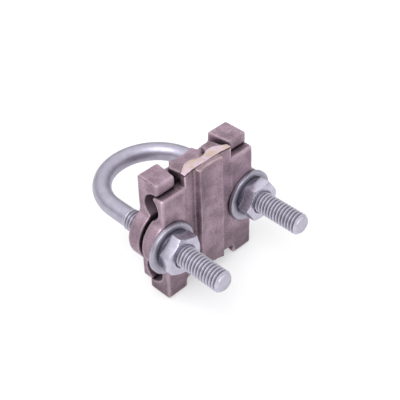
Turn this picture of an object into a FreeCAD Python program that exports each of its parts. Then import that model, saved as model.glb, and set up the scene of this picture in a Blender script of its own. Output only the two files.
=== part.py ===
import FreeCAD, Part
import Sketcher
import math
import os
from FreeCAD import Placement, Rotation, Vector

# Grounding clamp: a U-bolt draws two identical bronze castings together over an earth cable and
# holds them against a pipe or ground rod.
# +Z runs along the pipe, +X from leg to leg, +Y from the nuts towards the bend of the bolt.
# The origin is the axis of the round bend, level with the legs. All sizes are in millimetres.

SIZES = [
    # U-bolt
    ("leg_spacing", 45.5, "centre to centre of the two legs"),
    ("leg_length", 64.6, "from the start of the bend to the tips"),
    ("shank_dia", 8.4, "plain bar, as large as the pitch diameter of the rolled thread"),
    ("thread_dia", 9.525, "outside of the thread, three eighths of an inch"),
    ("thread_length", 51.0, "rolled thread on each leg"),
    ("tip_chamfer", 1.3, "turned on each tip"),
    # Pipe and its seat
    ("pipe_dia", 33.4, "largest pipe that the saddle is cut for"),
    ("saddle_distance", 19.05, "from the bend's axis to the pads of the pipe-side casting"),
    ("rib_proud", 1.85, "saddle rib above the pads"),
    ("rib_face_half", 6.4, "half the width of the rib at its face"),
    ("rib_root_half", 7.1, "half the width of the rib at its root"),
    ("rib_end_drop", 0.7, "end of the rib below the end of the column"),
    # Body plate of the casting
    ("plate_thick", 6.7, "plate and ears"),
    ("ear_radius", 13.1, "round end of each ear"),
    ("ear_inset", 3.7, "centre of the ear's round end inside the leg's axis"),
    ("body_drop", 24.8, "lower edge of the plate between the hooks"),
    ("shoulder_recess", 1.05, "shoulders behind the pads, beside the rib"),
    ("shoulder_edge", 0.25, "shoulders behind the pads, at their outer edge"),
    ("shoulder_half", 13.0, "half the width across the shoulders"),
    ("shoulder_draft", 0.3, "slope of the step from the shoulders to the pads"),
    ("edge_break", 0.7, "rims round the pads, broken in the pattern"),
    ("corner_round", 0.9, "outer corners of lips and hooks"),
    ("ear_corner_round", 2.0, "inside corners between the ears and the lips and hooks"),
    ("notch_round", 0.8, "inside corners between the hooks and the middle"),
    ("leg_hole_dia", 10.7, "holes for the legs"),
    # Lips, which stand inside the hooks of the other casting
    ("lip_up", 23.75, "from the legs' level to the lips' ends"),
    ("lip_beyond_leg", 2.85, "outer side of a lip beyond the leg's axis"),
    ("lip_end_thick", 5.5, "lip above its cable groove"),
    ("lip_wall", 2.8, "thinnest wall behind the groove"),
    ("lip_groove_up", 17.1, "level of the groove"),
    # Hooks
    ("hook_inner", 13.8, "inner side of a hook from the middle plane, at the pads"),
    ("hook_inner_tip", 15.2, "the same at the tip"),
    ("hook_beyond_leg", 2.2, "outer side of a hook beyond the leg's axis"),
    ("hook_gap", 0.55, "between a hook and the end of the other casting's lip"),
    ("hook_thick", 5.1, "head of the hook along the pipe"),
    ("hook_reach", 11.75, "from the pads to the tip of the hook"),
    ("hook_wall", 3.7, "arm of the hook behind its cable groove"),
    ("hook_tip_break", 0.7, "rim of the tip"),
    # Column that carries the parallel cable
    ("column_up", 30.0, "from the legs' level to the ground end face"),
    ("column_flank", 2.8, "depth of the straight sides from the pads"),
    ("column_crest_half", 7.8, "half the width of the inner face"),
    ("column_crest", 6.2, "depth of the inner face from the pads"),
    # Head of the column, beyond the plate of the other casting
    ("head_half", 12.2, "half the width across the head"),
    ("head_reach", 11.6, "from the pads to the back of the head"),
    ("head_clear", 0.6, "between the head and the plate of the other casting"),
    ("head_front_up", 29.7, "top of the head at the pads, as cast"),
    ("head_back_up", 27.8, "top of the head at its back"),
    ("head_round", 1.5, "upright corners at the back"),
    # Cable grooves
    ("groove_radius", 6.7, "all cable grooves"),
    ("channel_depth", 2.0, "groove along the pipe, below the plate's inner face"),
    # State shown
    ("ear_gap", 1.65, "between the two castings"),
    # Flat washers
    ("washer_dia", 23.2, "outside"),
    ("washer_hole_dia", 10.8, "hole"),
    ("washer_thick", 1.9, "thickness"),
    ("washer_edge", 0.35, "rolled-over edge of the stamping"),
    ("washer_leg_play", 0.08, "between the thread and the hole, where a washer hangs on it"),
    # Spring washers
    ("spring_dia", 17.6, "outside"),
    ("spring_hole_dia", 9.9, "hole"),
    ("spring_thick", 1.5, "thickness"),
    ("split_width", 1.1, "opening of the split"),
    ("split_slant", 0.8, "shift of the split through the thickness"),
    ("split_angle_left", 191.5, "degrees from +X towards +Z"),
    ("split_angle_right", 174.0, "degrees from +X towards +Z"),
    # Hex nuts
    ("nut_flats", 16.2, "across flats"),
    ("nut_thick", 5.5, "thickness"),
    ("nut_face_dia", 15.9, "chamfer circle on the outer face"),
    ("thread_play", 0.05, "between the crests of the thread and the nut"),
    ("nut_angle_left", 40.0, "degrees from +X towards +Z to a corner"),
    ("nut_angle_right", 2.0, "degrees from +X towards +Z to a corner"),
]

doc = FreeCAD.newDocument("grounding_clamp")
sheet = doc.addObject("Spreadsheet::Sheet", "sizes")
for row, (alias, number, note) in enumerate(SIZES, start=1):
    sheet.set("A%d" % row, alias)
    sheet.set("B%d" % row, str(number))
    sheet.set("C%d" % row, note)
    sheet.setAlias("B%d" % row, alias)
doc.recompute()

parts = []

# Expressions that more than one piece uses
LEG = "sizes.leg_spacing / 2"
LIP_OUTER = LEG + " + sizes.lip_beyond_leg"
HOOK_OUTER = LEG + " + sizes.hook_beyond_leg"
HOOK_INSIDE = "(sizes.lip_up + sizes.hook_gap)"
HOOK_END = "(" + HOOK_INSIDE + " + sizes.hook_thick)"
HOOK_GROOVE = "-(" + HOOK_INSIDE + " - sizes.groove_radius)"
NUT_SIDE = "-(sizes.saddle_distance + 2 * sizes.plate_thick + sizes.ear_gap)"
UNDER_SPRING = NUT_SIDE + " - sizes.washer_thick"
UNDER_NUT = UNDER_SPRING + " - sizes.spring_thick"


def new_body(name, label):
    body = doc.addObject("PartDesign::Body", name)
    body.Label = label
    parts.append(body)
    return body


def new_sketch(body, name, plane, offset=None):
    """Sketch on one of the body's own planes, moved along the plane's normal by an expression."""
    sketch = body.newObject("Sketcher::SketchObject", name)
    origin_plane = [item for item in body.Origin.OriginFeatures if item.Role == plane][0]
    sketch.AttachmentSupport = (origin_plane, [""])
    sketch.MapMode = "FlatFace"
    if offset:
        sketch.setExpression("AttachmentOffset.Base.z", offset)
    return sketch


def dimension(sketch, kind, expression, *elements):
    """Driving dimension whose value follows an expression."""
    index = sketch.addConstraint(Sketcher.Constraint(kind, *elements, 1.0))
    sketch.setExpression("Constraints[%d]" % index, expression)


def place_point(sketch, element, point, across, up):
    """Ties a point to the sketch's origin by two expressions."""
    dimension(sketch, "DistanceX", across, -1, 1, element, point)
    dimension(sketch, "DistanceY", up, -1, 1, element, point)


def draw_polygon(sketch, corners):
    """Closed outline of straight sides through corners, each given by two expressions."""
    count = len(corners)
    rough = [Vector(index, index * index, 0) for index in range(count)]
    first = sketch.GeometryCount
    for index in range(count):
        sketch.addGeometry(Part.LineSegment(rough[index], rough[(index + 1) % count]), False)
    for index in range(count):
        following = first + (index + 1) % count
        sketch.addConstraint(Sketcher.Constraint("Coincident", first + index, 2, following, 1))
        place_point(sketch, first + index, 1, *corners[index])


def draw_circle(sketch, radius, across="0", up="0"):
    index = sketch.addGeometry(Part.Circle(Vector(0, 0, 0), Vector(0, 0, 1), 1.0), False)
    place_point(sketch, index, 3, across, up)
    dimension(sketch, "Radius", radius, index)


def add_feature(body, kind, name, sketch, **settings):
    feature = body.newObject("PartDesign::" + kind, name)
    feature.Profile = sketch
    for key, setting in settings.items():
        setattr(feature, key, setting)
    sketch.Visibility = False
    return feature


def pad(body, name, sketch, length, reverse=False):
    feature = add_feature(body, "Pad", name, sketch, Reversed=reverse)
    feature.setExpression("Length", length)
    doc.recompute()
    return feature


def cut_through(body, name, sketch):
    """Pocket through everything on both sides of its sketch, which has to take material away."""
    before = body.Shape.Volume
    feature = add_feature(body, "Pocket", name, sketch, Type="ThroughAll", Midplane=True)
    doc.recompute()
    if body.Shape.Volume > before - 1e-6:
        raise RuntimeError(name + " cuts nothing")
    return feature


def round_edges(body, name, radius, wanted, kind="Fillet"):
    """Fillet or chamfer on the edges of the body's tip for which wanted(edge) is true."""
    base = body.Tip
    names = []
    for index, edge in enumerate(base.Shape.Edges, start=1):
        if wanted(edge):
            names.append("Edge%d" % index)
    if not names:
        raise RuntimeError(name + " finds no edge")
    feature = body.newObject("PartDesign::" + kind, name)
    feature.Base = (base, names)
    feature.setExpression("Radius" if kind == "Fillet" else "Size", radius)
    doc.recompute()
    return feature


def runs_along(edge, direction):
    """True for a straight edge parallel to a direction."""
    if not isinstance(edge.Curve, Part.Line):
        return False
    return edge.Curve.Direction.cross(direction).Length < 1e-6


def lies_at_y(edge, depth):
    """True for an edge in the plane y = depth."""
    box = edge.BoundBox
    return abs(box.YMin - depth) < 1e-4 and abs(box.YMax - depth) < 1e-4


# U-bolt: half a ring for the bend, two straight legs and a thicker thread on each
def make_u_bolt():
    body = new_body("UBolt", "u_bolt")
    section = new_sketch(body, "UBoltSection", "XZ_Plane")
    draw_circle(section, "sizes.shank_dia / 2", LEG)
    bend = add_feature(body, "Revolution", "UBoltBend", section)
    bend.ReferenceAxis = (section, ["V_Axis"])
    bend.Angle = 180
    doc.recompute()
    if body.Shape.BoundBox.YMax < sheet.leg_spacing / 2:
        raise RuntimeError("the bend of the bolt looks the wrong way")

    legs = new_sketch(body, "UBoltLegSections", "XZ_Plane")
    thread = new_sketch(body, "UBoltThread", "XZ_Plane", "sizes.leg_length - sizes.thread_length")
    for side in ("-", ""):
        draw_circle(legs, "sizes.shank_dia / 2", side + LEG)
        draw_circle(thread, "sizes.thread_dia / 2", side + LEG)
    pad(body, "UBoltLegs", legs, "sizes.leg_length")
    pad(body, "UBoltThreadedLegs", thread, "sizes.thread_length")

    tip_y = -sheet.leg_length
    at_tip = lambda edge: lies_at_y(edge, tip_y)
    round_edges(body, "UBoltTips", "sizes.tip_chamfer", at_tip, "Chamfer")


# Casting: one pattern for both sides. Its pads lie in the plane y = 0 and its inner face looks
# along +Y, with the lips up and the hooks down.
def make_casting(name, label):
    body = new_body(name, label)

    ears = new_sketch(body, name + "EarOutline", "XZ_Plane")
    for side in ("-", ""):
        draw_circle(ears, "sizes.ear_radius", side + "(" + LEG + " - sizes.ear_inset)")
    pad(body, name + "Ears", ears, "sizes.plate_thick", reverse=True)

    # Front outline of the plate with its lips, without the round ears
    outline = new_sketch(body, name + "PlateOutline", "XZ_Plane")
    right = [
        (LIP_OUTER, "sizes.lip_up"),
        (LIP_OUTER, "0"),
        (HOOK_OUTER, "0"),
        (HOOK_OUTER, "-sizes.body_drop"),
    ]
    left = [("-(" + across + ")", up) for across, up in reversed(right)]
    draw_polygon(outline, right + left)
    pad(body, name + "Plate", outline, "sizes.plate_thick", reverse=True)

    # Hooks hang below the plate and stand out of it, with tapered inner sides
    hooks = new_sketch(body, name + "HookSections", "XY_Plane", "-" + HOOK_END)
    for side in ("", "-"):
        outer = side + "(" + HOOK_OUTER + ")"
        draw_polygon(hooks, [
            (side + "sizes.hook_inner", "0"),
            (outer, "0"),
            (outer, "sizes.hook_reach"),
            (side + "sizes.hook_inner_tip", "sizes.hook_reach"),
        ])
    pad(body, name + "Hooks", hooks, HOOK_END + " + " + HOOK_GROOVE)

    # Corners of the outline, seen from the front
    hook_end = sheet.lip_up + sheet.hook_gap + sheet.hook_thick

    def is_corner(edge):
        level = abs(edge.BoundBox.ZMax - edge.BoundBox.ZMin) < 1e-4
        straight = isinstance(edge.Curve, Part.Line) and edge.BoundBox.YLength > 1
        beyond = abs(edge.BoundBox.Center.x) > sheet.hook_inner - 1e-4
        return level and straight and beyond and edge.BoundBox.YMin < 1e-4

    def is_at(edge, level):
        return is_corner(edge) and abs(edge.BoundBox.ZMin - level) < 1e-4

    outer_corner = lambda edge: is_at(edge, sheet.lip_up) or is_at(edge, -hook_end)
    notch_corner = lambda edge: is_at(edge, -sheet.body_drop)
    ear_corner = lambda edge: is_corner(edge) and not (outer_corner(edge) or notch_corner(edge))
    round_edges(body, name + "OuterCorners", "sizes.corner_round", outer_corner)
    round_edges(body, name + "NotchCorners", "sizes.notch_round", notch_corner)
    round_edges(body, name + "EarCorners", "sizes.ear_corner_round", ear_corner)

    # Cast rims all round the pads
    at_pads = lambda edge: lies_at_y(edge, 0)
    round_edges(body, name + "PadRims", "sizes.edge_break", at_pads, "Chamfer")

    # Lips are thinner than the plate above the middle of their groove
    relief = new_sketch(body, name + "LipRelief", "YZ_Plane")
    draw_polygon(relief, [
        ("sizes.lip_end_thick", "sizes.lip_groove_up"),
        ("2 * sizes.plate_thick", "sizes.lip_groove_up"),
        ("2 * sizes.plate_thick", "2 * sizes.lip_up"),
        ("sizes.lip_end_thick", "2 * sizes.lip_up"),
    ])
    cut_through(body, name + "LipRelieved", relief)

    # Middle of the plate, set back behind the pads
    recess = new_sketch(body, name + "RecessSection", "XY_Plane")
    mouth_half = "(sizes.shoulder_half + 2 * sizes.shoulder_draft)"
    draw_polygon(recess, [
        ("-sizes.rib_root_half", "sizes.shoulder_recess"),
        ("sizes.rib_root_half", "sizes.shoulder_recess"),
        ("sizes.shoulder_half", "sizes.shoulder_edge"),
        (mouth_half, "-sizes.shoulder_edge"),
        ("-" + mouth_half, "-sizes.shoulder_edge"),
        ("-sizes.shoulder_half", "sizes.shoulder_edge"),
    ])
    cut_through(body, name + "Recess", recess)

    # Column with tapered flanks, up to its ground end
    column = new_sketch(body, name + "ColumnSection", "XY_Plane", "sizes.lip_groove_up")
    draw_polygon(column, [
        ("-sizes.rib_root_half", "sizes.shoulder_recess"),
        ("sizes.rib_root_half", "sizes.shoulder_recess"),
        ("sizes.shoulder_half", "sizes.shoulder_edge"),
        ("sizes.shoulder_half", "sizes.column_flank"),
        ("sizes.column_crest_half", "sizes.column_crest"),
        ("-sizes.column_crest_half", "sizes.column_crest"),
        ("-sizes.shoulder_half", "sizes.column_flank"),
        ("-sizes.shoulder_half", "sizes.shoulder_edge"),
    ])
    pad(body, name + "Column", column, "sizes.column_up - sizes.lip_groove_up")

    # Head of the column, with a sloping top, over the end of the other casting's plate
    head = new_sketch(body, name + "HeadOutline", "YZ_Plane")
    draw_polygon(head, [
        ("sizes.shoulder_recess", "sizes.body_drop + sizes.head_clear"),
        ("sizes.head_reach", "sizes.body_drop + sizes.head_clear"),
        ("sizes.head_reach", "sizes.head_back_up"),
        ("sizes.shoulder_recess", "sizes.head_front_up"),
    ])
    across_head = pad(body, name + "Head", head, "2 * sizes.head_half")
    across_head.Midplane = True
    doc.recompute()
    at_back = lambda edge: lies_at_y(edge, sheet.head_reach) and runs_along(edge, Vector(0, 0, 1))
    round_edges(body, name + "HeadCorners", "sizes.head_round", at_back)

    # Cable grooves across the pipe: one behind the lips, one inside the hooks
    across = new_sketch(body, name + "CrossGrooves", "YZ_Plane")
    draw_circle(across, "sizes.groove_radius", "sizes.lip_wall + sizes.groove_radius",
                "sizes.lip_groove_up")
    draw_circle(across, "sizes.groove_radius", "sizes.hook_wall + sizes.groove_radius", HOOK_GROOVE)
    cut_through(body, name + "CrossCables", across)

    at_tip = lambda edge: lies_at_y(edge, sheet.hook_reach)
    round_edges(body, name + "HookTips", "sizes.hook_tip_break", at_tip, "Chamfer")

    # Saddle rib over the full height, hollowed to the pipe's radius
    rib = new_sketch(body, name + "RibSection", "XY_Plane", "-sizes.body_drop")
    draw_polygon(rib, [
        ("-sizes.rib_root_half", "sizes.column_flank"),
        ("-sizes.rib_root_half", "sizes.shoulder_recess"),
        ("-sizes.rib_face_half", "-sizes.rib_proud"),
        ("sizes.rib_face_half", "-sizes.rib_proud"),
        ("sizes.rib_root_half", "sizes.shoulder_recess"),
        ("sizes.rib_root_half", "sizes.column_flank"),
    ])
    pad(body, name + "Rib", rib, "sizes.body_drop + sizes.column_up - sizes.rib_end_drop")
    saddle = new_sketch(body, name + "SaddleCircle", "XY_Plane")
    chord = "sqrt((sizes.pipe_dia / 2) ^ 2 - sizes.rib_face_half ^ 2)"
    draw_circle(saddle, "sizes.pipe_dia / 2", "0", "-(sizes.rib_proud + " + chord + ")")
    cut_through(body, name + "Saddle", saddle)

    # Cable groove along the pipe
    along = new_sketch(body, name + "ParallelGroove", "XY_Plane")
    draw_circle(along, "sizes.groove_radius", "0",
                "sizes.plate_thick - sizes.channel_depth + sizes.groove_radius")
    cut_through(body, name + "ParallelCable", along)

    # Holes for the legs
    holes = new_sketch(body, name + "LegHoles", "XZ_Plane")
    for side in ("-", ""):
        draw_circle(holes, "sizes.leg_hole_dia / 2", side + LEG)
    cut_through(body, name + "Holes", holes)
    return body


def make_flat_washer(name, label, side):
    body = new_body(name, label)
    ring = new_sketch(body, name + "Ring", "XZ_Plane")
    draw_circle(ring, "sizes.washer_dia / 2")
    draw_circle(ring, "sizes.washer_hole_dia / 2")
    pad(body, name + "Disc", ring, "sizes.washer_thick")
    outside = math.pi * sheet.washer_dia
    front = -sheet.washer_thick
    rolled_edge = lambda edge: abs(edge.Length - outside) < 1e-2 and lies_at_y(edge, front)
    round_edges(body, name + "Edge", "sizes.washer_edge", rolled_edge, "Chamfer")
    body.setExpression("Placement.Base.x", side + LEG)
    body.setExpression("Placement.Base.y", NUT_SIDE)
    drop = "-((sizes.washer_hole_dia - sizes.thread_dia) / 2 - sizes.washer_leg_play)"
    body.setExpression("Placement.Base.z", drop)


# The split is a slanted slot cut outwards from the axis, along the ring's own +X
def make_spring_washer(name, label, side, angle):
    body = new_body(name, label)
    ring = new_sketch(body, name + "Ring", "XZ_Plane")
    draw_circle(ring, "sizes.spring_dia / 2")
    draw_circle(ring, "sizes.spring_hole_dia / 2")
    pad(body, name + "Coil", ring, "sizes.spring_thick")
    split = new_sketch(body, name + "SplitOutline", "YZ_Plane")
    half = "sizes.split_width / 2"
    lean = "sizes.split_slant"
    draw_polygon(split, [
        ("sizes.spring_thick", "-" + half + " - 1.5 * " + lean),
        ("sizes.spring_thick", half + " - 1.5 * " + lean),
        ("-2 * sizes.spring_thick", half + " + 1.5 * " + lean),
        ("-2 * sizes.spring_thick", "-" + half + " + 1.5 * " + lean),
    ])
    whole = body.Shape.Volume
    slot = add_feature(body, "Pocket", name + "Split", split, Type="ThroughAll", Reversed=True)
    doc.recompute()
    if body.Shape.Volume > whole - 1e-6:
        raise RuntimeError(name + " has no split")
    body.Placement = Placement(Vector(0, 0, 0), Rotation(Vector(0, 1, 0), -angle))
    body.setExpression("Placement.Base.x", side + LEG)
    body.setExpression("Placement.Base.y", UNDER_SPRING)


def make_nut(name, label, side, angle):
    body = new_body(name, label)
    hexagon = new_sketch(body, name + "Hexagon", "XZ_Plane")
    corner = "sizes.nut_flats / sqrt(3)"
    flat = "sizes.nut_flats / 2"
    draw_polygon(hexagon, [
        (corner, "0"),
        (corner + " / 2", flat),
        ("-" + corner + " / 2", flat),
        ("-" + corner, "0"),
        ("-" + corner + " / 2", "-" + flat),
        (corner + " / 2", "-" + flat),
    ])
    pad(body, name + "Block", hexagon, "sizes.nut_thick")

    # The outer face is turned to a cone at thirty degrees
    cone = new_sketch(body, name + "Cone", "XY_Plane")
    face = "sizes.nut_face_dia / 2"
    rim = "sizes.nut_flats"
    fall = "(" + rim + " - " + face + ") * tan(30 deg)"
    draw_polygon(cone, [
        (face, "-sizes.nut_thick"),
        (rim, "-sizes.nut_thick"),
        (rim, "-sizes.nut_thick + " + fall),
    ])
    before = body.Shape.Volume
    turned = add_feature(body, "Groove", name + "Turned", cone)
    turned.ReferenceAxis = (cone, ["V_Axis"])
    turned.Angle = 360
    doc.recompute()
    if body.Shape.Volume > before - 1e-6:
        raise RuntimeError(name + " is not turned")

    bore = new_sketch(body, name + "Bore", "XZ_Plane")
    draw_circle(bore, "sizes.thread_dia / 2 + sizes.thread_play")
    cut_through(body, name + "Hole", bore)
    body.Placement = Placement(Vector(0, 0, 0), Rotation(Vector(0, 1, 0), -angle))
    body.setExpression("Placement.Base.x", side + LEG)
    body.setExpression("Placement.Base.y", UNDER_NUT)


make_u_bolt()

pipe_side = make_casting("PipeSide", "pipe_side_casting")
pipe_side.Placement = Placement(Vector(0, 0, 0), Rotation(Vector(1, 0, 0), 180))
pipe_side.setExpression("Placement.Base.y", "-sizes.saddle_distance")

nut_side = make_casting("NutSide", "nut_side_casting")
nut_side.setExpression("Placement.Base.y", NUT_SIDE)

for hand, side, split_angle, nut_angle in (
    ("Left", "-", sheet.split_angle_left, sheet.nut_angle_left),
    ("Right", "", sheet.split_angle_right, sheet.nut_angle_right),
):
    suffix = "_" + hand.lower()
    make_flat_washer("FlatWasher" + hand, "flat_washer" + suffix, side)
    make_spring_washer("SpringWasher" + hand, "spring_washer" + suffix, side, split_angle)
    make_nut("HexNut" + hand, "hex_nut" + suffix, side, nut_angle)

doc.recompute()
for item in doc.Objects:
    if "Invalid" in item.State or "Error" in item.State:
        raise RuntimeError(item.Name + " is in state " + ", ".join(item.State))
for part in parts:
    if part.Shape.isNull() or not part.Shape.isValid():
        raise RuntimeError(part.Label + " has no valid shape")
    if len(part.Shape.Solids) != 1:
        raise RuntimeError(part.Label + " is not one solid")

os.makedirs("parts", exist_ok=True)
for part in parts:
    part.Shape.exportStep(os.path.join("parts", part.Label + ".step"))
    box = part.Shape.BoundBox
    print("%-20s %8.1f mm3  x %6.2f %6.2f  y %6.2f %6.2f  z %6.2f %6.2f" % (
        part.Label, part.Shape.Volume, box.XMin, box.XMax, box.YMin, box.YMax, box.ZMin, box.ZMax))
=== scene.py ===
"""Looks of a grounding clamp: two sand-cast bronze jaws on a rolled-thread U-bolt with its nuts
and washers, standing on a pale floor. Lengths are in metres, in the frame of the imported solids."""

import math

import bmesh
import bpy
import numpy as np
from mathutils import Matrix, Quaternion, Vector, noise
from mathutils.bvhtree import BVHTree


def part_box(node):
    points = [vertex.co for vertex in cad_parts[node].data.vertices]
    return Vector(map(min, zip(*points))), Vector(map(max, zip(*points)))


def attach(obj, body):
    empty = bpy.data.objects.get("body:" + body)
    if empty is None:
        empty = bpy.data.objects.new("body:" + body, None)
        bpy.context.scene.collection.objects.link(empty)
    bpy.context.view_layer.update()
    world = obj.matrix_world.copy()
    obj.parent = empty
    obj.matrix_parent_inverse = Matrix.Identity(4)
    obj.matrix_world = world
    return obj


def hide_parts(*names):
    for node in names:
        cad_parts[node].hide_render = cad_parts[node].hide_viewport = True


bl_info = {
    "name": "Grounding Clamp",
    "version": (1, 0, 0),
    "blender": (4, 5, 0),
    "location": "View3D > Sidebar > Clamp",
    "description": "Builds the castings, bolt, nuts and washers of a grounding clamp",
    "category": "Add Mesh",
}

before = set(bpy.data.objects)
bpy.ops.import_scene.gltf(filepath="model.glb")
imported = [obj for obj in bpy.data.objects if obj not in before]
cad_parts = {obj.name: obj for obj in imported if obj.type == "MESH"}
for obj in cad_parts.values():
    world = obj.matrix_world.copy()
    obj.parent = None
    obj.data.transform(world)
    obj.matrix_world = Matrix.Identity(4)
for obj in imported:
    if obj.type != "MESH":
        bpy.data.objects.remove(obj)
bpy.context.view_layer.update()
BOLT_LOW, BOLT_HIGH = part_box("u_bolt")
THREAD_RADIUS = BOLT_HIGH.z
LEG_OFFSET = BOLT_HIGH.x - THREAD_RADIUS
SHANK_RADIUS = BOLT_HIGH.y - LEG_OFFSET
FLOOR_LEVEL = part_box("pipe_side_casting")[0].z
PADS_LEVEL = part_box("flat_washer_left")[1].y
MM = 0.001

# The ground ends of the columns lie as far above the legs as the floor lies below them. Within
# these depths of an end come its ground face, skin that stays flat, and a dark burr
END_LEVEL = -FLOOR_LEVEL
GROUND_DEPTH = 0.25 * MM
FLAT_DEPTH = 0.4 * MM
BURR_DEPTH = 0.9 * MM
BURR_DIRT = 0.7

# Averaging passes that give the surroundings of a vertex, and how far out of them is fully worn
WEAR_PASSES = 6
FULL_WEAR = 0.16 * MM

# Rays that look for walls near a vertex for the painted shade in corners and clefts, how far above
# it they start, and how far they are turned from one vertex to the next, in radians
SHADE_RAYS = 10
RAY_START = 0.1 * MM
RAY_TURN = 2.4

# Faces round the bar and the threads, and rows of faces to each turn of a thread
FACES_AROUND = 40
ROWS_PER_PITCH = 10

# Brightness of the clouded patches in zinc plating, next to the rest of it
CLOUD_SHADE = 0.86


# ---- Settings of the panel


class CastingSettings(bpy.types.PropertyGroup):
    grain: bpy.props.FloatProperty(
        name="Mesh Grain",
        description="Edge of the small faces that the castings are rebuilt from",
        default=0.37 * MM,
        min=0.2 * MM,
        precision=5,
        unit="LENGTH",
    )
    softening: bpy.props.IntProperty(
        name="Softening",
        description="Passes that round the edges as sand casting does",
        default=5,
        min=0,
        max=20,
    )
    waviness: bpy.props.FloatProperty(
        name="Waviness",
        description="Height of the uneven patches that the sand leaves",
        default=0.07 * MM,
        min=0.0,
        precision=5,
        unit="LENGTH",
    )
    # How far the painted shade in corners and clefts reaches
    shade_reach: bpy.props.FloatProperty(
        name="Dirt Reach",
        description="How near another surface has to be for dirt to stay between the two",
        default=6.0 * MM,
        min=0.5 * MM,
        precision=4,
        unit="LENGTH",
    )
    bronze: bpy.props.StringProperty(
        name="Bronze",
        description="Colour of the cast skin, as a hexadecimal sRGB colour",
        default="ab93a1",
    )
    bronze_deep: bpy.props.StringProperty(
        name="Bronze in Hollows",
        description="Colour of the cast skin in its dark patches",
        default="8b7682",
    )
    bronze_worn: bpy.props.StringProperty(
        name="Worn Bronze",
        description="Colour of the rubbed edges",
        default="d6bfca",
    )
    # Colour of the grime in the grain, and of the painted shade in corners, clefts and low down
    bronze_grime_and_shade: bpy.props.StringProperty(
        name="Dirt on Bronze",
        description="Colour of the moulding sand and oil left in corners and clefts",
        default="302229",
    )
    bronze_tan: bpy.props.StringProperty(
        name="Filed Bronze",
        description="Colour of the skin next to the ground ends, browner than the rest",
        default="977f82",
    )
    ground_bronze: bpy.props.StringProperty(
        name="Ground Bronze",
        description="Colour of the column's ground end",
        default="cbb6a8",
    )


class HardwareSettings(bpy.types.PropertyGroup):
    pitch: bpy.props.FloatProperty(
        name="Thread Pitch",
        description="Advance of the thread in one turn, sixteen turns to the inch",
        default=1.5875 * MM,
        min=0.5 * MM,
        precision=5,
        unit="LENGTH",
    )
    thread_depth: bpy.props.FloatProperty(
        name="Thread Depth",
        description="From the crest of the thread to its root",
        default=0.85 * MM,
        min=0.1 * MM,
        precision=5,
        unit="LENGTH",
    )
    thread_length: bpy.props.FloatProperty(
        name="Thread Length",
        description="Threaded part of each leg with its run-out on the bar",
        default=55.0 * MM,
        min=5.0 * MM,
        precision=4,
        unit="LENGTH",
    )
    tip_chamfer: bpy.props.FloatProperty(
        name="Tip Chamfer",
        description="Chamfer turned on the tip of each leg",
        default=1.3 * MM,
        min=0.1 * MM,
        precision=5,
        unit="LENGTH",
    )
    nut_mouth: bpy.props.FloatProperty(
        name="Nut Mouth",
        description="Countersink round the thread on the outer face of each nut",
        default=0.75 * MM,
        min=0.1 * MM,
        precision=5,
        unit="LENGTH",
    )
    edge_break: bpy.props.FloatProperty(
        name="Edge Break",
        description="Rounding of the edges of nuts and washers",
        default=0.14 * MM,
        min=0.02 * MM,
        precision=5,
        unit="LENGTH",
    )
    bar_steel: bpy.props.StringProperty(
        name="Bar Steel",
        description="Colour of the drawn bar, as a hexadecimal sRGB colour",
        default="b0acbb",
    )
    thread_steel: bpy.props.StringProperty(
        name="Thread Steel",
        description="Colour of the rolled threads and of the bar's tips",
        default="c6c2d1",
    )
    # Colour of the painted shade in the roots of the thread
    thread_root_shade: bpy.props.StringProperty(
        name="Oil on Threads",
        description="Colour of the oil and dust in the roots of the thread",
        default="3d3945",
    )
    tip_steel: bpy.props.StringProperty(
        name="Tip Steel",
        description="Colour of the cropped tips, brighter than the thread",
        default="b6b2bf",
    )
    nut_steel: bpy.props.StringProperty(
        name="Nut Steel",
        description="Colour of the nuts",
        default="c4c0d0",
    )
    washer_steel: bpy.props.StringProperty(
        name="Washer Steel",
        description="Colour of the flat washers",
        default="aeaab8",
    )
    # Colour of the spring washers, darkened as painted shade, also used for the painted nut shadow
    # on the flat washers
    spring_steel: bpy.props.StringProperty(
        name="Spring Steel",
        description="Colour of the spring washers",
        default="625e6c",
    )


class StageSettings(bpy.types.PropertyGroup):
    azimuth: bpy.props.FloatProperty(
        name="Azimuth",
        description="Turn of the camera round the clamp, nought looking along +Y",
        default=math.radians(-43.65),
        subtype="ANGLE",
    )
    elevation: bpy.props.FloatProperty(
        name="Elevation",
        description="Height of the camera above the horizon",
        default=math.radians(40.24),
        subtype="ANGLE",
    )
    roll: bpy.props.FloatProperty(
        name="Roll",
        description="Tilt of the camera about its own axis",
        default=math.radians(-1.85),
        subtype="ANGLE",
    )
    distance: bpy.props.FloatProperty(
        name="Distance",
        description="From the nut-side pads' middle to the camera, along its axis",
        default=368.9 * MM,
        precision=4,
        unit="LENGTH",
    )
    shift: bpy.props.FloatVectorProperty(
        name="Shift",
        description="Camera moved to its right and up",
        default=(-4.205 * MM, 7.670 * MM),
        size=2,
        precision=5,
        unit="LENGTH",
    )
    lens: bpy.props.FloatProperty(
        name="Focal Length",
        description="Focal length on a sensor 36 millimetres wide",
        default=80.3,
        min=10.0,
    )
    floor: bpy.props.StringProperty(
        name="Floor",
        description="Colour of floor and surroundings, as a hexadecimal sRGB colour",
        default="f7f7f8",
    )
    sky: bpy.props.FloatProperty(
        name="Sky Light",
        description="Strength of the even light from the ceiling",
        default=1.32,
        min=0.0,
    )
    walls: bpy.props.FloatProperty(
        name="Wall Light",
        description="Strength of the light from the dim walls, between sweep and ceiling",
        default=0.08,
        min=0.0,
    )
    paleness: bpy.props.FloatProperty(
        name="Floor Paleness",
        description="Share of plain white in the floor as the camera and the metal see it",
        default=0.5,
        min=0.0,
        max=1.0,
    )
    key: bpy.props.FloatProperty(
        name="Key Light",
        description="Power of the large lamp to the left of the clamp",
        default=5.0,
        min=0.0,
        unit="POWER",
    )


# ---- Meshes


def new_object(name, mesh):
    made = bpy.data.objects.new(name, mesh)
    bpy.context.scene.collection.objects.link(made)
    return made


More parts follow.
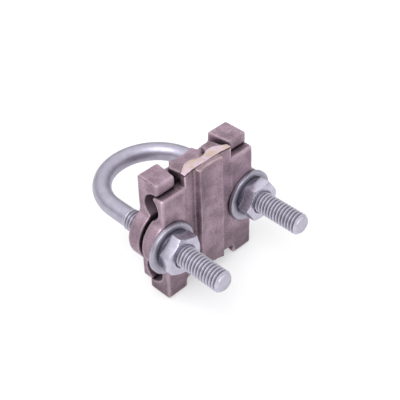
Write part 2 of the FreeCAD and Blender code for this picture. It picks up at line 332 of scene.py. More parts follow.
def merged_copy(node, name):
    """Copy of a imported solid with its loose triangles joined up."""
    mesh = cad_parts[node].data.copy()
    mesh.name = name
    mesh.materials.clear()
    work = bmesh.new()
    work.from_mesh(mesh)
    bmesh.ops.remove_doubles(work, verts=work.verts, dist=0.001 * MM)
    bmesh.ops.dissolve_limit(
        work, angle_limit=math.radians(0.5), verts=work.verts, edges=work.edges
    )
    work.to_mesh(mesh)
    work.free()
    return new_object(name, mesh)


def settle(made):
    """Turns an object with modifiers into a plain mesh at the origin."""
    graph = bpy.context.evaluated_depsgraph_get()
    graph.update()
    mesh = bpy.data.meshes.new_from_object(
        made.evaluated_get(graph), preserve_all_data_layers=True, depsgraph=graph
    )
    name = made.name
    mesh.name = name
    bpy.data.objects.remove(made)
    return new_object(name, mesh)


def dress(made, slot, body, *nodes):
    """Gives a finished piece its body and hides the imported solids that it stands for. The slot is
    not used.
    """
    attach(made, body)
    if nodes:
        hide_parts(*nodes)


# ---- Node trees


def add_node(tree, kind, **settings):
    node = tree.nodes.new(kind)
    for key, value in settings.items():
        setattr(node, key, value)
    return node


def feed(tree, socket, value):
    """Connects a socket to another one, or gives it a plain value."""
    if isinstance(value, bpy.types.NodeSocket):
        tree.links.new(value, socket)
    else:
        socket.default_value = value


def calc(tree, operation, *terms):
    node = add_node(tree, "ShaderNodeMath", operation=operation)
    for socket, term in zip(node.inputs, terms):
        feed(tree, socket, term)
    return node.outputs[0]


def share(tree, value, low, high, start=0.0, end=1.0):
    """Value brought from low..high to start..end, and held there."""
    node = add_node(tree, "ShaderNodeMapRange", clamp=True)
    for name, term in (
        ("Value", value),
        ("From Min", low),
        ("From Max", high),
        ("To Min", start),
        ("To Max", end),
    ):
        feed(tree, node.inputs[name], term)
    return node.outputs["Result"]


def vector_of(tree, x, y, z):
    node = add_node(tree, "ShaderNodeCombineXYZ")
    for socket, term in zip(node.inputs, (x, y, z)):
        feed(tree, socket, term)
    return node.outputs[0]


def parts_of(tree, vector):
    """The x, y and z of a vector."""
    node = add_node(tree, "ShaderNodeSeparateXYZ")
    tree.links.new(vector, node.inputs[0])
    return tuple(node.outputs)


def position_of(tree):
    return add_node(tree, "GeometryNodeInputPosition").outputs[0]


def new_tree(name, inputs):
    """Geometry node tree with named inputs. Returns the tree and its input sockets by name."""
    tree = bpy.data.node_groups.new(name, "GeometryNodeTree")
    tree.interface.new_socket("Geometry", in_out="OUTPUT", socket_type="NodeSocketGeometry")
    for label, kind in inputs:
        tree.interface.new_socket(label, in_out="INPUT", socket_type=kind)
    start = add_node(tree, "NodeGroupInput")
    return tree, {socket.name: socket for socket in start.outputs if socket.name}


def finish_tree(tree, geometry, material):
    """Every tree ends in real faces with their material."""
    real = add_node(tree, "GeometryNodeRealizeInstances")
    painted = add_node(tree, "GeometryNodeSetMaterial")
    end = add_node(tree, "NodeGroupOutput")
    tree.links.new(geometry, real.inputs[0])
    tree.links.new(real.outputs[0], painted.inputs["Geometry"])
    tree.links.new(material, painted.inputs["Material"])
    tree.links.new(painted.outputs[0], end.inputs[0])


def run_tree(made, tree, values):
    """Runs a tree on an object and returns the result as a plain mesh object."""
    modifier = made.modifiers.new(tree.name, "NODES")
    modifier.node_group = tree
    for item in tree.interface.items_tree:
        if item.in_out == "INPUT" and item.name in values:
            modifier[item.identifier] = values[item.name]
    return settle(made)


def thread_tree():
    """Two right-handed threads with chamfered tips, which run out on the shank."""
    lengths = (
        "Pitch",
        "Crest Radius",
        "Depth",
        "Length",
        "Tip Chamfer",
        "Shank Radius",
        "Leg Offset",
        "Tip Level",
    )
    counts = ("Around", "Rows", "Rows per Pitch")
    inputs = [(label, "NodeSocketFloat") for label in lengths]
    inputs += [(label, "NodeSocketInt") for label in counts]
    inputs.append(("Material", "NodeSocketMaterial"))
    tree, given = new_tree("rolled_thread", inputs)

    grid = add_node(tree, "GeometryNodeMeshGrid")
    feed(tree, grid.inputs["Size X"], 1.0)
    feed(tree, grid.inputs["Size Y"], 1.0)
    feed(tree, grid.inputs["Vertices X"], calc(tree, "ADD", given["Around"], 1))
    feed(tree, grid.inputs["Vertices Y"], calc(tree, "ADD", given["Rows"], 1))
    grid_x, grid_y, _ = parts_of(tree, position_of(tree))

    # Rows follow the helix, and the rolled profile is rounded at crest and root
    turn = calc(tree, "ADD", grid_x, 0.5)
    row = calc(tree, "MULTIPLY", calc(tree, "ADD", grid_y, 0.5), given["Rows"])
    pitches = calc(tree, "DIVIDE", calc(tree, "ROUND", row), given["Rows per Pitch"])
    wave = calc(tree, "COSINE", calc(tree, "MULTIPLY", pitches, math.tau))
    groove = share(tree, wave, 1.0, -1.0)
    climbed = calc(tree, "SUBTRACT", calc(tree, "ADD", pitches, turn), 1.0)
    along = calc(tree, "MULTIPLY", climbed, given["Pitch"])
    along = calc(tree, "MINIMUM", calc(tree, "MAXIMUM", along, 0.0), given["Length"])

    cut = calc(tree, "MULTIPLY", groove, given["Depth"])
    radius = calc(tree, "SUBTRACT", given["Crest Radius"], cut)
    tip_radius = calc(tree, "SUBTRACT", given["Crest Radius"], given["Tip Chamfer"])
    radius = calc(tree, "MINIMUM", radius, calc(tree, "ADD", tip_radius, along))

    # Over its last turn the thread runs out to the bar's own radius
    left = calc(tree, "SUBTRACT", given["Length"], along)
    full = share(tree, left, 0.0, given["Pitch"])
    above_shank = calc(tree, "SUBTRACT", radius, given["Shank Radius"])
    radius = calc(tree, "MULTIPLY_ADD", above_shank, full, given["Shank Radius"])

    # Roots are marked for the painted shade in them, but not on the chamfer or the run-out. The mark
    # comes before the grid moves, because it is worked out from the grid
    tip_end = calc(tree, "MULTIPLY", given["Tip Chamfer"], 1.5)
    root = calc(tree, "MULTIPLY", groove, full)
    root = calc(tree, "MULTIPLY", root, share(tree, along, given["Tip Chamfer"], tip_end))
    marked = add_node(tree, "GeometryNodeStoreNamedAttribute", data_type="FLOAT", domain="POINT")
    tree.links.new(grid.outputs["Mesh"], marked.inputs["Geometry"])
    marked.inputs["Name"].default_value = "hollow"
    feed(tree, marked.inputs["Value"], root)

    angle = calc(tree, "MULTIPLY", turn, math.tau)
    moved = add_node(tree, "GeometryNodeSetPosition")
    tree.links.new(marked.outputs[0], moved.inputs["Geometry"])
    feed(
        tree,
        moved.inputs["Position"],
        vector_of(
            tree,
            calc(tree, "MULTIPLY", radius, calc(tree, "SINE", angle)),
            calc(tree, "ADD", along, given["Tip Level"]),
            calc(tree, "MULTIPLY", radius, calc(tree, "COSINE", angle)),
        ),
    )

    # Flat ends close the thread at its tip and inside the shank
    closed = add_node(tree, "GeometryNodeJoinGeometry")
    tree.links.new(moved.outputs[0], closed.inputs[0])
    far_end = calc(tree, "ADD", given["Tip Level"], given["Length"])
    for end_radius, level in ((tip_radius, given["Tip Level"]), (given["Shank Radius"], far_end)):
        disc = add_node(tree, "GeometryNodeMeshCircle", fill_type="NGON")
        feed(tree, disc.inputs["Vertices"], given["Around"])
        feed(tree, disc.inputs["Radius"], end_radius)
        disc_x, disc_y, _ = parts_of(tree, position_of(tree))
        turned = add_node(tree, "GeometryNodeSetPosition")
        tree.links.new(disc.outputs["Mesh"], turned.inputs["Geometry"])
        feed(tree, turned.inputs["Position"], vector_of(tree, disc_y, level, disc_x))
        tree.links.new(turned.outputs[0], closed.inputs[0])
    welded = add_node(tree, "GeometryNodeMergeByDistance")
    tree.links.new(closed.outputs[0], welded.inputs["Geometry"])
    feed(tree, welded.inputs["Distance"], 0.002 * MM)

    # The same thread stands on both legs
    legs = add_node(tree, "GeometryNodeMeshLine")
    feed(tree, legs.inputs["Count"], 2)
    start = calc(tree, "MULTIPLY", given["Leg Offset"], -1.0)
    step = calc(tree, "MULTIPLY", given["Leg Offset"], 2.0)
    feed(tree, legs.inputs["Start Location"], vector_of(tree, start, 0.0, 0.0))
    feed(tree, legs.inputs["Offset"], vector_of(tree, step, 0.0, 0.0))
    placed = add_node(tree, "GeometryNodeInstanceOnPoints")
    tree.links.new(legs.outputs["Mesh"], placed.inputs["Points"])
    tree.links.new(welded.outputs[0], placed.inputs["Instance"])
    finish_tree(tree, placed.outputs[0], given["Material"])
    return tree


def bar_tree():
    """Round bar along a curve, closed at both ends."""
    tree, given = new_tree(
        "bent_bar",
        [
            ("Path", "NodeSocketGeometry"),
            ("Radius", "NodeSocketFloat"),
            ("Around", "NodeSocketInt"),
            ("Material", "NodeSocketMaterial"),
        ],
    )
    section = add_node(tree, "GeometryNodeCurvePrimitiveCircle")
    feed(tree, section.inputs["Resolution"], given["Around"])
    feed(tree, section.inputs["Radius"], given["Radius"])
    swept = add_node(tree, "GeometryNodeCurveToMesh")
    tree.links.new(given["Path"], swept.inputs["Curve"])
    tree.links.new(section.outputs["Curve"], swept.inputs["Profile Curve"])
    feed(tree, swept.inputs["Fill Caps"], True)
    finish_tree(tree, swept.outputs[0], given["Material"])
    return tree


# ---- Materials


def linear(hexadecimal):
    """Linear colour of a hexadecimal sRGB one."""
    parts = [int(hexadecimal[start : start + 2], 16) / 255 for start in (0, 2, 4)]
    return [c / 12.92 if c <= 0.04045 else ((c + 0.055) / 1.055) ** 2.4 for c in parts] + [1.0]


def new_material(name):
    """Node tree and shader of a new material."""
    material = bpy.data.materials.new(name)
    material.use_nodes = True
    return material.node_tree, material.node_tree.nodes["Principled BSDF"]


def coordinates_of(tree, kind="Object"):
    return add_node(tree, "ShaderNodeTexCoord").outputs[kind]


def grain_of(tree, coordinates, size, detail, stretch=None):
    """Noise whose patches have a real size, from nought to one, stretched along one axis."""
    if stretch:
        scaled = add_node(tree, "ShaderNodeMapping")
        tree.links.new(coordinates, scaled.inputs["Vector"])
        scaled.inputs["Scale"].default_value = stretch
        coordinates = scaled.outputs[0]
    node = add_node(tree, "ShaderNodeTexNoise")
    tree.links.new(coordinates, node.inputs["Vector"])
    node.inputs["Scale"].default_value = 1.0 / size
    node.inputs["Detail"].default_value = detail
    return node.outputs["Fac"]


def colour_mix(tree, amount, first, second):
    node = add_node(tree, "ShaderNodeMix", data_type="RGBA")
    feed(tree, node.inputs[0], amount)
    feed(tree, node.inputs[6], first)
    feed(tree, node.inputs[7], second)
    return node.outputs[2]


def bumped(tree, shader, height, depth, strength):
    node = add_node(tree, "ShaderNodeBump")
    tree.links.new(height, node.inputs["Height"])
    node.inputs["Distance"].default_value = depth
    node.inputs["Strength"].default_value = strength
    tree.links.new(node.outputs[0], shader.inputs["Normal"])


def named_value(tree, name):
    return add_node(tree, "ShaderNodeAttribute", attribute_name=name).outputs["Fac"]


def cast_bronze():
    """Tumbled sand-cast bronze: dull rose-brown skin with fine sand grain and grime in its grain,
    painted shade in its corners, clefts and low down, and rubbed pale on some of its edges."""
    colours = bpy.context.scene.clamp_castings
    grime_and_shade = linear(colours.bronze_grime_and_shade)
    tree, shader = new_material("sand_cast_bronze")
    where = coordinates_of(tree)
    aside, front, up = parts_of(tree, where)

    # Cloudy patches of the skin, and the sand grain in it
    patches = grain_of(tree, where, 7.0 * MM, 3.0)
    grain = grain_of(tree, where, 0.55 * MM, 5.0)
    colour = colour_mix(
        tree,
        share(tree, patches, 0.36, 0.64),
        linear(colours.bronze_deep),
        linear(colours.bronze),
    )

    # Next to the ground ends of the columns the skin is browner, most of all at their front
    end_near = calc(tree, "SUBTRACT", calc(tree, "ABSOLUTE", up), END_LEVEL)
    browner = share(tree, end_near, -5.0 * MM, -1.2 * MM, 0.0, 0.85)
    on_column = share(tree, calc(tree, "ABSOLUTE", aside), 12.6 * MM, 10.5 * MM)
    at_front = share(tree, front, PADS_LEVEL + 1.1 * MM, PADS_LEVEL + 0.1 * MM, 0.25, 1.0)
    for limit in (on_column, at_front):
        browner = calc(tree, "MULTIPLY", browner, limit)
    colour = colour_mix(tree, browner, colour, linear(colours.bronze_tan))

    # Low down the skin is darkened as painted shade, and everywhere the deeper grain holds some
    # grime
    low_shade = share(tree, up, -12.0 * MM, -26.0 * MM, 0.0, 0.46)
    pitted = share(tree, grain, 0.50, 0.68, 0.0, 0.38)
    for darkening in (low_shade, pitted):
        colour = colour_mix(tree, darkening, colour, grime_and_shade)

    # Edges are rubbed pale in places, most of all those of the nut-side plate, less those of the
    # rib in front of it, and none next to a cleft
    dirt = named_value(tree, "dirt")
    rubbed = share(tree, named_value(tree, "wear"), 0.15, 0.9)
    plate_front = share(tree, front, PADS_LEVEL + 1.3 * MM, PADS_LEVEL + 0.6 * MM, 0.45, 0.95)
    rib_front = share(tree, front, PADS_LEVEL - 0.4 * MM, PADS_LEVEL - 0.9 * MM, 1.0, 0.45)
    for spared in (
        share(tree, grain, 0.3, 0.6, 0.55, 1.0),
        share(tree, grain_of(tree, where, 9.0 * MM, 2.0), 0.38, 0.60, 0.45, 1.0),
        share(tree, dirt, 0.10, 0.45, 1.0, 0.0),
        plate_front,
        rib_front,
    ):
        rubbed = calc(tree, "MULTIPLY", rubbed, spared)
    colour = colour_mix(tree, rubbed, colour, linear(colours.bronze_worn))

    # Corners, clefts and the rings round the washers are painted nearly black as shade, where walls
    # stand close round the skin
    occlusion_shade = share(tree, dirt, 0.16, 0.75, 0.0, 0.97)
    occlusion_shade = calc(tree, "MULTIPLY", occlusion_shade, share(tree, grain, 0.3, 0.6, 0.75, 1.0))
    colour = colour_mix(tree, occlusion_shade, colour, grime_and_shade)
    tree.links.new(colour, shader.inputs["Base Color"])
    tree.links.new(share(tree, grain, 0.35, 0.65, 0.42, 0.58), shader.inputs["Roughness"])
    shader.inputs["Metallic"].default_value = 0.75
    bumped(tree, shader, grain, 0.07 * MM, 0.6)


def ground_bronze():
    """Bare metal of the column's ground end, pale with fine scratches across."""
    colours = bpy.context.scene.clamp_castings
    tree, shader = new_material("ground_bronze")
    where = coordinates_of(tree)
    scratches = grain_of(tree, where, 0.45 * MM, 3.0, (1.0, 0.12, 1.0))
    pinker = grain_of(tree, where, 4.0 * MM, 2.0)
    colour = colour_mix(
        tree,
        share(tree, pinker, 0.40, 0.60),
        linear(colours.ground_bronze),
        linear(colours.bronze_worn),
    )
    colour = colour_mix(
        tree,
        share(tree, scratches, 0.52, 0.68, 0.0, 0.55),
        colour,
        linear(colours.bronze),
    )
    tree.links.new(colour, shader.inputs["Base Color"])
    shader.inputs["Metallic"].default_value = 0.8
    shader.inputs["Roughness"].default_value = 0.42
    bumped(tree, shader, scratches, 0.02 * MM, 0.5)


def plated_steel(name, colour, roughness, streak, metallic=0.82):
    """Dull zinc-plated steel with faint streaks that follow the drawing or turning. Returns
    its tree, shader, coordinates and colour."""
    tree, shader = new_material(name)
    where = coordinates_of(tree)
    cloud = grain_of(tree, where, 3.0 * MM, 3.0)
    lines = grain_of(tree, where, 0.8 * MM, 3.0, streak)
    dark = [channel * CLOUD_SHADE for channel in linear(colour)[:3]] + [1.0]
    tone = colour_mix(tree, share(tree, cloud, 0.35, 0.7), dark, linear(colour))
    tree.links.new(tone, shader.inputs["Base Color"])
    spread = share(tree, lines, 0.3, 0.7, roughness - 0.06, roughness + 0.08)
    tree.links.new(spread, shader.inputs["Roughness"])
    shader.inputs["Metallic"].default_value = metallic
    bumped(tree, shader, lines, 0.012 * MM, 0.5)
    return tree, shader, where, tone


def thread_steel():
    """Rolled thread with painted shade in its roots, and bright cropped tips."""
    colours = bpy.context.scene.clamp_hardware
    tree, shader, where, tone = plated_steel(
        "rolled_thread_steel", colours.thread_steel, 0.45, (1.0, 1.0, 1.0), 0.65
    )
    # Painted shade in the roots, darkening the turned-away flank of each turn
    painted_shade = share(tree, named_value(tree, "hollow"), 0.2, 0.95, 0.0, 0.78)
    tone = colour_mix(tree, painted_shade, tone, linear(colours.thread_root_shade))
    along = parts_of(tree, where)[1]
    cropped = share(tree, along, BOLT_LOW.y + 0.3 * MM, BOLT_LOW.y + 0.1 * MM)
    tone = colour_mix(tree, cropped, tone, linear(colours.tip_steel))
    tree.links.new(tone, shader.inputs["Base Color"])


def washer_steel():
    """Stamped washer, bright at its rim and darkened towards the hole with a painted shadow of the
    nut.
    """
    colours = bpy.context.scene.clamp_hardware
    tree, shader, where, tone = plated_steel(
        "stamped_washer_steel", colours.washer_steel, 0.42, (1.0, 1.0, 1.0)
    )
    aside, _, up = parts_of(tree, where)
    from_leg = calc(tree, "SUBTRACT", calc(tree, "ABSOLUTE", aside), LEG_OFFSET)
    radius = add_node(tree, "ShaderNodeVectorMath", operation="LENGTH")
    tree.links.new(vector_of(tree, from_leg, 0.0, up), radius.inputs[0])
    # Painted shadow of the nut, darkest towards the hole and gone beyond 10.6 millimetres from the
    # leg
    painted_shade = share(tree, radius.outputs["Value"], 10.6 * MM, 8.4 * MM, 0.0, 0.75)
    tone = colour_mix(tree, painted_shade, tone, linear(colours.spring_steel))
    tree.links.new(tone, shader.inputs["Base Color"])


# ---- Pieces


def averager(mesh):
    """Function that gives each vertex the mean of its neighbours' values."""
    count = len(mesh.vertices)
    ends = np.empty(len(mesh.edges) * 2, dtype=np.int64)
    mesh.edges.foreach_get("vertices", ends)
    first, second = ends.reshape(-1, 2).T
    degree = np.bincount(ends, minlength=count)[:, None]

    def around(values):
        columns = [
            np.bincount(first, column[second], count) + np.bincount(second, column[first], count)
            for column in values.T
        ]
        return np.stack(columns, axis=1) / degree

    return around


def places_and_normals(mesh):
    count = len(mesh.vertices)
    places, normals = np.empty(count * 3), np.empty(count * 3)
    mesh.vertices.foreach_get("co", places)
    mesh.vertex_normals.foreach_get("vector", normals)
    return places.reshape(-1, 3), normals.reshape(-1, 3)


def store(mesh, name, values):
    layer = mesh.attributes.new(name, "FLOAT", "POINT")
    layer.data.foreach_set("value", np.clip(values, 0.0, 1.0).astype(np.float32))


def mark_wear(mesh):
    """Stores how far each vertex stands out of its surroundings, nought to one."""
    places, normals = places_and_normals(mesh)
    around = averager(mesh)
    smooth = places
    for _ in range(WEAR_PASSES):
        smooth = around(smooth)
    proud = ((places - smooth) * normals).sum(axis=1)[:, None]
    store(mesh, "wear", around(around(proud))[:, 0] / FULL_WEAR)


def mark_shade_and_burr(mesh, node):
    """Stores how much of the space round each vertex is walled in, nought to one, as painted shade,
    together with the dark burr round each ground end.
    """
    corners, faces = [], []
    others = [solid.data for name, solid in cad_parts.items() if name != node]
    for near in [mesh] + others:
        base = len(corners)
        corners += [vertex.co.copy() for vertex in near.vertices]
        faces += [[base + corner for corner in face.vertices] for face in near.polygons]
    walls = BVHTree.FromPolygons(corners, faces)

    # Rays spread evenly over a half sphere, and denser towards its pole
    rays = []
    for step in range(SHADE_RAYS):
        outward = math.sqrt((step + 0.5) / SHADE_RAYS)
        turn = step * math.pi * (3 - math.sqrt(5))
        upward = math.sqrt(1 - outward * outward)
        rays.append(Vector((outward * math.cos(turn), outward * math.sin(turn), upward)))
    reach = bpy.context.scene.clamp_castings.shade_reach
    places, normals = places_and_normals(mesh)
    blocked = np.zeros((len(places), 1))
    for index, (place, normal) in enumerate(zip(places.tolist(), normals.tolist())):
        normal = Vector(normal)
        start = Vector(place) + normal * RAY_START
        turned = normal.to_track_quat("Z", "Y") @ Quaternion((0, 0, 1), RAY_TURN * index)
        for ray in rays:
            if walls.ray_cast(start, turned @ ray, reach)[0]:
                blocked[index] += 1
    around = averager(mesh)
    # The walled-in share is painted shade: corners, clefts and the rings round the washers come out
    # dark
    closed = around(around(around(blocked / SHADE_RAYS)))[:, 0]

    # The wheel leaves a dark burr round each ground end
    near_end = np.abs(places[:, 2]) > END_LEVEL - BURR_DEPTH
    upright = np.abs(normals[:, 2]) < 0.7
    store(mesh, "dirt", np.maximum(closed, BURR_DIRT * (near_end & upright)))


def roughen(mesh, height):
    """Lifts and sinks the cast skin in patches, but not the ground end."""
    normals = places_and_normals(mesh)[1]
    for vertex, normal in zip(mesh.vertices, normals):
        place = vertex.co
        if abs(place.z) > END_LEVEL - FLAT_DEPTH:
            continue
        swell = noise.noise(place / (4.0 * MM)) + 0.45 * noise.noise(place / (1.3 * MM))
        vertex.co = place + Vector(normal) * (height * swell)


def make_casting(node, body, end_sign):
    """Casting whose ground end lies up (1) or down (-1), rebuilt from fine even faces so that
    its edges can be softened and its skin made uneven."""
    settings = bpy.context.scene.clamp_castings
    made = merged_copy(node, node + "_cast")
    rebuilt = made.modifiers.new("skin", "REMESH")
    rebuilt.mode = "VOXEL"
    rebuilt.voxel_size = settings.grain
    rebuilt.use_smooth_shade = True
    softened = made.modifiers.new("soften", "SMOOTH")
    softened.factor = 0.5
    softened.iterations = settings.softening
    made = settle(made)
    roughen(made.data, settings.waviness)
    mark_wear(made.data)
    mark_shade_and_burr(made.data, node)
    made.data.materials.append(bpy.data.materials["sand_cast_bronze"])
    made.data.materials.append(bpy.data.materials["ground_bronze"])
    for face in made.data.polygons:
        level, slope = face.center.z * end_sign, face.normal.z * end_sign
        if level > END_LEVEL - GROUND_DEPTH and slope > 0.8:
            face.material_index = 1
    dress(made, "bronze", body, node)


def open_mouth(mesh, width):
    """Countersinks the outer end of a nut's hole."""
    work = bmesh.new()
    work.from_mesh(mesh)
    front = min(vertex.co.y for vertex in work.verts)
    rim = [
        edge
        for edge in work.edges
        if all(
            vertex.co.y < front + 0.01 * MM
            and math.hypot(abs(vertex.co.x) - LEG_OFFSET, vertex.co.z) < THREAD_RADIUS + 0.3 * MM
            for vertex in edge.verts
        )
    ]
    bmesh.ops.bevel(work, geom=rim, offset=width, segments=1, affect="EDGES")
    work.to_mesh(mesh)
    work.free()


def make_hardware(node, material, slot, body, mouth=0.0):
    """Nut or washer with its edges broken."""
    made = merged_copy(node, node + "_finished")
    if mouth:
        open_mouth(made.data, mouth)
    eased = made.modifiers.new("edge_break", "BEVEL")
    eased.width = bpy.context.scene.clamp_hardware.edge_break
    eased.segments = 2
    eased.limit_method = "ANGLE"
    eased.angle_limit = math.radians(25)
    made = settle(made)
    made.data.shade_smooth()
    made.data.set_sharp_from_angle(angle=math.radians(35))
    made.data.materials.append(bpy.data.materials[material])
    dress(made, slot, body, node)


def bar_line(end):
    """Line of the bar: half a circle from arcs of four points, with straight legs to a level."""
    path = bpy.data.curves.new("bolt_line", "CURVE")
    path.dimensions = "3D"
    path.resolution_u = 24
    spline = path.splines.new("BEZIER")
    spline.bezier_points.add(4)
    reach = LEG_OFFSET * 4 / 3 * math.tan(math.pi / 8)
    bend = (
        ((-LEG_OFFSET, end), (0, -1 * MM), (0, -end / 3)),
        ((-LEG_OFFSET, 0), (0, end / 3), (0, reach)),
        ((0, LEG_OFFSET), (-reach, 0), (reach, 0)),
        ((LEG_OFFSET, 0), (0, reach), (0, end / 3)),
        ((LEG_OFFSET, end), (0, -end / 3), (0, -1 * MM)),
    )
    for point, (place, before, after) in zip(spline.bezier_points, bend):
        point.handle_left_type = point.handle_right_type = "FREE"
        point.co = (*place, 0)
        point.handle_left = (place[0] + before[0], place[1] + before[1], 0)
        point.handle_right = (place[0] + after[0], place[1] + after[1], 0)
    return path


def make_bar(settings):
    """Bent bar, whose ends lie hidden 1 mm inside the threads."""
    end = BOLT_LOW.y + settings.thread_length - 1.0 * MM
    values = {
        "Radius": SHANK_RADIUS,
        "Around": FACES_AROUND,
        "Material": bpy.data.materials["drawn_bar_steel"],
    }
    bar = run_tree(new_object("u_bolt_bar", bar_line(end)), bar_tree(), values)
    bar.data.shade_smooth()
    bar.data.set_sharp_from_angle(angle=math.radians(40))
    dress(bar, "bolt_steel", "bolt", "u_bolt")


def make_threads(settings):
    """Rolled threads of both legs, which take the place of the solids' plain cylinders."""
    turns = math.ceil(settings.thread_length / settings.pitch + 1)
    values = {
        "Pitch": settings.pitch,
        "Crest Radius": THREAD_RADIUS,
        "Depth": settings.thread_depth,
        "Length": settings.thread_length,
        "Tip Chamfer": settings.tip_chamfer,
        "Shank Radius": SHANK_RADIUS,
        "Leg Offset": LEG_OFFSET,
        "Tip Level": BOLT_LOW.y,
        "Around": FACES_AROUND,
        "Rows": turns * ROWS_PER_PITCH,
        "Rows per Pitch": ROWS_PER_PITCH,
        "Material": bpy.data.materials["rolled_thread_steel"],
    }
    blank = new_object("u_bolt_threads", bpy.data.meshes.new("blank"))
    thread = run_tree(blank, thread_tree(), values)
    work = bmesh.new()
    work.from_mesh(thread.data)
    bmesh.ops.recalc_face_normals(work, faces=work.faces)
    work.to_mesh(thread.data)
    work.free()
    thread.data.shade_smooth()
    thread.data.set_sharp_from_angle(angle=math.radians(50))
    dress(thread, "bolt_steel", "bolt")


# ---- Stage


def make_floor(settings):
    """Matt pale floor, which the camera and the metal see paler than it is lit."""
    half = 3.0
    corners = ((-half, -half), (half, -half), (half, half), (-half, half))
    mesh = bpy.data.meshes.new("floor")
    mesh.from_pydata([(x, y, FLOOR_LEVEL) for x, y in corners], [], [(0, 1, 2, 3)])
    floor = new_object("floor", mesh)
    tree, shader = new_material("pale_floor")
    shader.inputs["Base Color"].default_value = linear(settings.floor)
    shader.inputs["Roughness"].default_value = 0.9
    shader.inputs["Specular IOR Level"].default_value = 0.1
    path = add_node(tree, "ShaderNodeLightPath")
    seen = calc(tree, "MAXIMUM", path.outputs["Is Camera Ray"], path.outputs["Is Glossy Ray"])
    seen = calc(tree, "MAXIMUM", seen, path.outputs["Is Transmission Ray"])
    white = add_node(tree, "ShaderNodeEmission")
    paler = add_node(tree, "ShaderNodeMixShader")
    feed(tree, paler.inputs[0], calc(tree, "MULTIPLY", seen, settings.paleness))
    tree.links.new(shader.outputs[0], paler.inputs[1])
    tree.links.new(white.outputs[0], paler.inputs[2])
    tree.links.new(paler.outputs[0], tree.nodes["Material Output"].inputs["Surface"])
    mesh.materials.append(bpy.data.materials["pale_floor"])


def make_world(settings):
    """Room of light. The pale sweep goes on past the floor's edge, the walls over it are dim and
    the ceiling is bright."""
    sweep_low, walls_low, ceiling_low = 0.08, 0.14, 0.60
    world = bpy.data.worlds.new("soft_sky")
    world.use_nodes = True
    tree = world.node_tree
    backdrop = tree.nodes["Background"]
    backdrop.inputs["Color"].default_value = linear(settings.floor)
    height = parts_of(tree, coordinates_of(tree, "Generated"))[2]
    room = share(tree, height, walls_low, ceiling_low, settings.walls, settings.sky)
    sweep = share(tree, height, sweep_low, walls_low, 1.0 - settings.walls, 0.0)
    tree.links.new(calc(tree, "ADD", room, sweep), backdrop.inputs["Strength"])
    bpy.context.scene.world = world


def make_lamp(power):
    """Large soft lamp, high up on the left and aimed at the clamp."""
    place = Vector((-0.42, -0.12, 0.82))
    lamp = bpy.data.lights.new("key", "AREA")
    lamp.shape = "SQUARE"
    lamp.size = 0.6
    lamp.energy = power
    holder = new_object("key", lamp)
    holder.location = place
    holder.rotation_mode = "QUATERNION"
    holder.rotation_quaternion = (-place).to_track_quat("-Z", "Y")


def make_camera(settings):
    """Camera that was fitted to the photograph."""
    azimuth, elevation, roll = settings.azimuth, settings.elevation, settings.roll
    right = Vector((math.cos(azimuth), math.sin(azimuth), 0))
    back = Vector(
        (
            math.sin(azimuth) * math.cos(elevation),
            -math.cos(azimuth) * math.cos(elevation),
            math.sin(elevation),
        )
    )
    up = back.cross(right)
    tilted = right * math.cos(roll) + up * math.sin(roll)
    upright = back.cross(tilted)
    middle = Vector((0, PADS_LEVEL, 0))
    place = middle + back * settings.distance + tilted * settings.shift[0]
    place += upright * settings.shift[1]
    camera = new_object("camera", bpy.data.cameras.new("camera"))
    camera.data.lens = settings.lens
    camera.data.sensor_width = 36.0
    axes = Matrix((tilted, upright, back)).transposed().to_4x4()
    camera.matrix_world = Matrix.Translation(place) @ axes
    bpy.context.scene.camera = camera


# ---- Operators and panel


class MakeMaterials(bpy.types.Operator):
    """Make the bronze and steel materials"""

    bl_idname = "clamp.make_materials"
    bl_label = "Make Materials"

    def execute(self, context):
        steel = context.scene.clamp_hardware
        cast_bronze()
        ground_bronze()
        thread_steel()
        washer_steel()

        # The drawn bar is satin, the nuts are glossier, so that the flats turned from the light
        # go dark, and the spring washers are darkened as painted shade
        plated_steel("drawn_bar_steel", steel.bar_steel, 0.40, (1.0, 0.15, 1.0))
        plated_steel("forged_nut_steel", steel.nut_steel, 0.29, (1.0, 0.3, 1.0), 0.88)
        plated_steel("spring_washer_steel", steel.spring_steel, 0.40, (1.0, 0.2, 1.0))
        return {"FINISHED"}


class MakeCastings(bpy.types.Operator):
    """Make the two bronze castings"""

    bl_idname = "clamp.make_castings"
    bl_label = "Make Castings"

    def execute(self, context):
        make_casting("nut_side_casting", "nut_side", 1)
        make_casting("pipe_side_casting", "pipe_side", -1)
        return {"FINISHED"}


class MakeBolt(bpy.types.Operator):
    """Make the bent bar and its two rolled threads"""

    bl_idname = "clamp.make_bolt"
    bl_label = "Make U-Bolt"

    def execute(self, context):
        settings = context.scene.clamp_hardware
        make_bar(settings)
        make_threads(settings)
        return {"FINISHED"}


class MakeNuts(bpy.types.Operator):
    """Make the two hex nuts"""

    bl_idname = "clamp.make_nuts"
    bl_label = "Make Nuts"

    def execute(self, context):
        mouth = context.scene.clamp_hardware.nut_mouth
        for side in ("left", "right"):
            nut = "hex_nut_" + side
            make_hardware(nut, "forged_nut_steel", "nut_steel", side + "_nut", mouth)
        return {"FINISHED"}


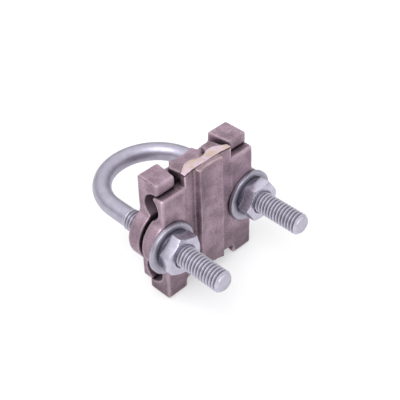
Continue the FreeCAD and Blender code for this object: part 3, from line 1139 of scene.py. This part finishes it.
class MakeWashers(bpy.types.Operator):
    """Make the flat and spring washers"""

    bl_idname = "clamp.make_washers"
    bl_label = "Make Washers"

    def execute(self, context):
        kinds = (
            ("flat_washer_", "stamped_washer_steel", "washer_steel"),
            ("spring_washer_", "spring_washer_steel", "spring_steel"),
        )
        for side in ("left", "right"):
            for name, material, slot in kinds:
                make_hardware(name + side, material, slot, "nut_side")
        return {"FINISHED"}


class MakeStage(bpy.types.Operator):
    """Make the floor, the light and the camera"""

    bl_idname = "clamp.make_stage"
    bl_label = "Make Stage"

    def execute(self, context):
        settings = context.scene.clamp_stage
        make_floor(settings)
        make_world(settings)
        make_lamp(settings.key)
        make_camera(settings)
        context.scene.view_settings.view_transform = "Standard"
        return {"FINISHED"}


class ClampPanel(bpy.types.Panel):
    bl_idname = "VIEW3D_PT_grounding_clamp"
    bl_label = "Grounding Clamp"
    bl_space_type = "VIEW_3D"
    bl_region_type = "UI"
    bl_category = "Clamp"

    def draw(self, context):
        for group, _ in GROUPS:
            settings = getattr(context.scene, group)
            box = self.layout.box()
            for name in settings.bl_rna.properties.keys():
                if name not in ("rna_type", "name"):
                    box.prop(settings, name)
        for step in OPERATORS:
            self.layout.operator(step.bl_idname)


GROUPS = (
    ("clamp_castings", CastingSettings),
    ("clamp_hardware", HardwareSettings),
    ("clamp_stage", StageSettings),
)
OPERATORS = (MakeMaterials, MakeStage, MakeCastings, MakeBolt, MakeNuts, MakeWashers)


def register():
    for name, group in GROUPS:
        bpy.utils.register_class(group)
        setattr(bpy.types.Scene, name, bpy.props.PointerProperty(type=group))
    for operator in OPERATORS:
        bpy.utils.register_class(operator)
    bpy.utils.register_class(ClampPanel)


def unregister():
    bpy.utils.unregister_class(ClampPanel)
    for operator in reversed(OPERATORS):
        bpy.utils.unregister_class(operator)
    for name, group in reversed(GROUPS):
        delattr(bpy.types.Scene, name)
        bpy.utils.unregister_class(group)


def main():
    register()
    for operator in OPERATORS:
        group, name = operator.bl_idname.split(".")
        getattr(getattr(bpy.ops, group), name)()


if __name__ == "__main__":
    main()
